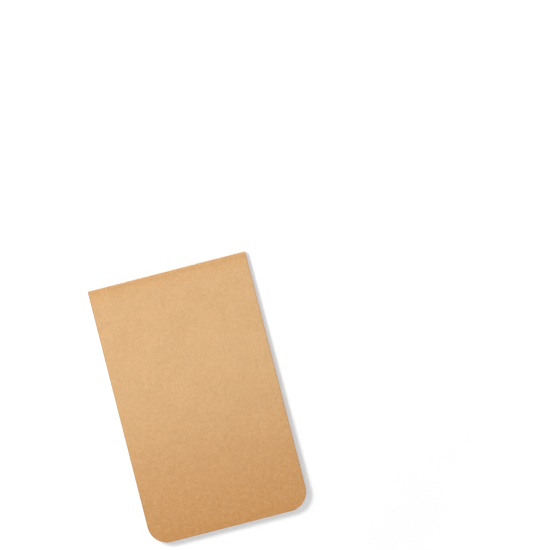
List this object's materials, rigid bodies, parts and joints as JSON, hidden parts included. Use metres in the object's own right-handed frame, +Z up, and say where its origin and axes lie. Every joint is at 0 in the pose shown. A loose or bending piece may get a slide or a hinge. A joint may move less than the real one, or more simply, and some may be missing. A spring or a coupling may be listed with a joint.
{
  "type": "pocket notebook",
  "caption": "Top-bound pocket notebook: a kraft card cover folded round stapled sheets of ruled paper, with rounded free corners.",
  "frame": {"origin": "centre of the back cover's flat underside, which lies on the table", "axes": "+X across the width, +Y along the length towards the bound edge, +Z up out of the front cover; closed"},
  "size_m": [0.0826, 0.1334, 0.0063],
  "materials": {
    "kraft_card": "uncoated brown kraft card, matte with fine fibres",
    "paper": "uncoated white paper, ruled in light grey",
    "staple_wire": "drawn steel wire"
  },
  "bodies": {
    "rear_block": {"leaf_12": "paper", "leaf_13": "paper", "leaf_14": "paper", "leaf_15": "paper", "leaf_16": "paper", "leaf_17": "paper", "leaf_18": "paper", "leaf_19": "paper", "leaf_20": "paper", "leaf_21": "paper", "leaf_22": "paper", "leaf_23": "paper", "leaf_24": "paper"},
    "front_block": {"leaf_01": "paper", "leaf_02": "paper", "leaf_03": "paper", "leaf_04": "paper", "leaf_05": "paper", "leaf_06": "paper", "leaf_07": "paper", "leaf_08": "paper", "leaf_09": "paper", "leaf_10": "paper", "leaf_11": "paper"},
    "front_cover": {"cover_front": "kraft_card"},
    "back_cover": {"cover_back": "kraft_card"},
    "spine": {"cover_spine": "kraft_card", "fold_01": "paper", "fold_02": "paper", "fold_03": "paper", "fold_04": "paper", "fold_05": "paper", "fold_06": "paper", "fold_07": "paper", "fold_08": "paper", "fold_09": "paper", "fold_10": "paper", "fold_11": "paper", "fold_12": "paper", "staple_left": "staple_wire", "staple_right": "staple_wire"}
  },
  "joints": [
    {"name": "spread_open", "type": "hinge", "parent": "rear_block", "child": "front_block", "pos_m": [0, 0.06603, 0.0018], "axis": [-1, 0, 0], "range_deg": [0, 178.8]},
    {"name": "front_cover_open", "type": "hinge", "parent": "front_block", "child": "front_cover", "pos_m": [0, 0.06603, 0.00362], "axis": [-1, 0, 0], "range_deg": [0, 180]},
    {"name": "back_cover_open", "type": "hinge", "parent": "rear_block", "child": "back_cover", "pos_m": [0, 0.06603, -0.00002], "axis": [-1, 0, 0], "range_deg": [-180, 0]},
    {"name": "spine_turn", "type": "hinge", "parent": "rear_block", "child": "spine", "pos_m": [0, 0.06603, 0.0018], "axis": [-1, 0, 0], "range_deg": [0, 89.4], "deforming": ["cover_spine", "fold_01", "fold_02", "fold_03", "fold_04", "fold_05", "fold_06", "fold_07", "fold_08", "fold_09", "fold_10", "fold_11", "fold_12"]}
  ],
  "couplings": [
    {"joint": "spine_turn", "follows": "spread_open", "ratio": 0.5}
  ]
}
